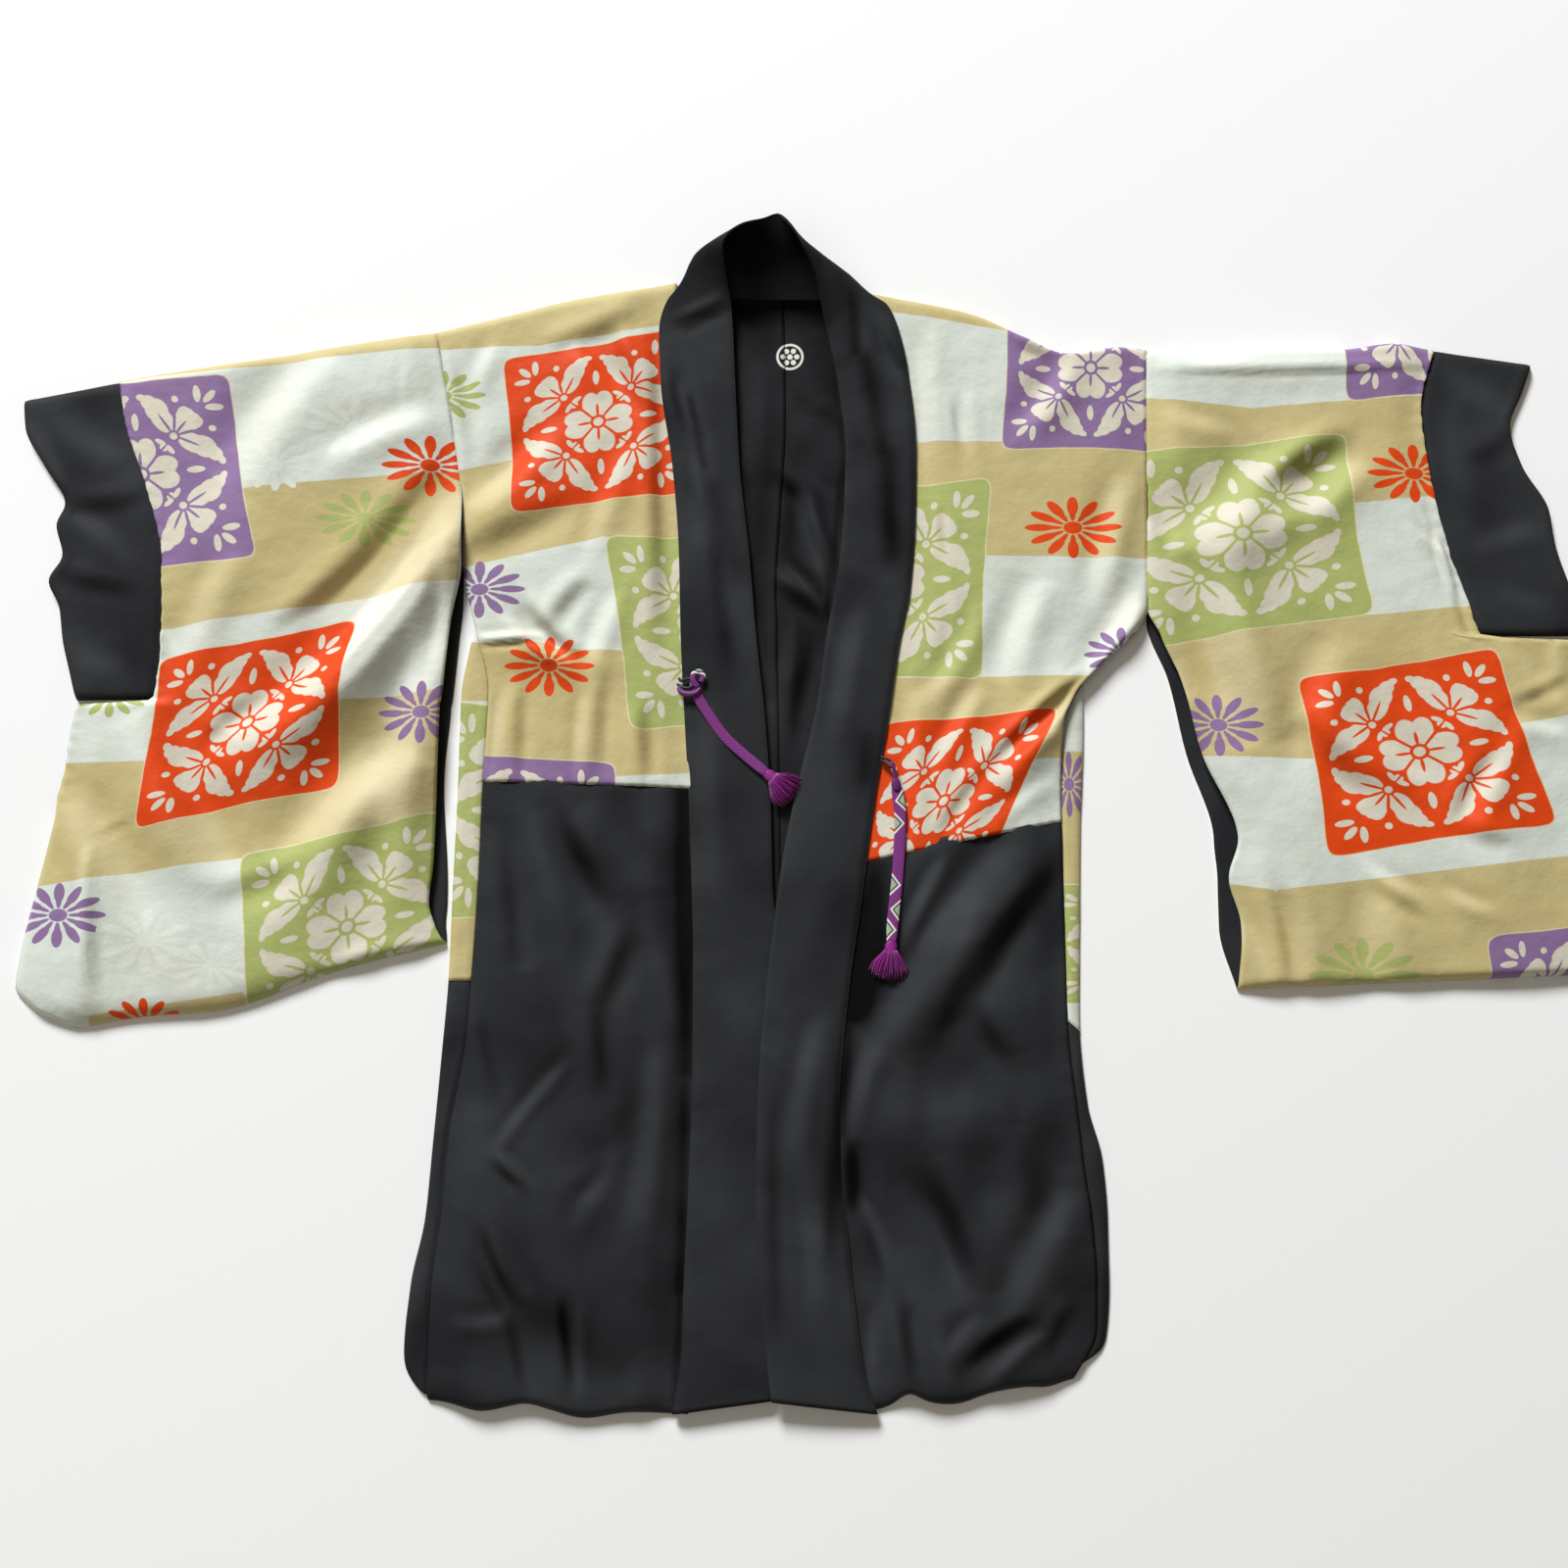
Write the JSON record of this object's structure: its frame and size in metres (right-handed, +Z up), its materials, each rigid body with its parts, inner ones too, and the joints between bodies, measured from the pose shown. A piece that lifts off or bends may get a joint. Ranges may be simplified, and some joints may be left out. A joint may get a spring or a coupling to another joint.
{
  "type": "haori jacket",
  "caption": "Lined silk haori jacket turned lining side out and laid flat with its front up, with wide sleeves, a long collar band and two tasselled ties.",
  "frame": {"origin": "on the surface the jacket lies on, under the middle of its outline", "axes": "+X across the shoulders toward the sleeve at the viewer's right, +Y from the hem toward the collar, +Z up from the surface"},
  "size_m": [1.3092, 0.9727, 0.053],
  "materials": {
    "black_silk": "black plain-weave silk with a soft sheen",
    "printed_lining": "smooth lining silk printed with coloured squares, bands and flowers",
    "braid": "flat purple silk braid with pale chevrons on one face",
    "tassel": "glossy purple silk strands"
  },
  "bodies": {
    "root": {"back_left": "black_silk", "back_right": "black_silk", "front_lining_left": "printed_lining", "front_lining_right": "printed_lining", "front_turn_up_left": "black_silk", "front_turn_up_right": "black_silk", "gusset_lining_left": "printed_lining", "gusset_lining_right": "printed_lining", "gusset_turn_up_left": "black_silk", "gusset_turn_up_right": "black_silk", "sleeve_left": "printed_lining", "sleeve_right": "printed_lining", "cuff_left": "black_silk", "cuff_right": "black_silk", "collar": "black_silk", "loop_left": "braid", "loop_right": "braid", "tie_left": "braid", "tie_right": "braid", "tassel_left": "tassel", "tassel_right": "tassel"}
  },
  "joints": []
}
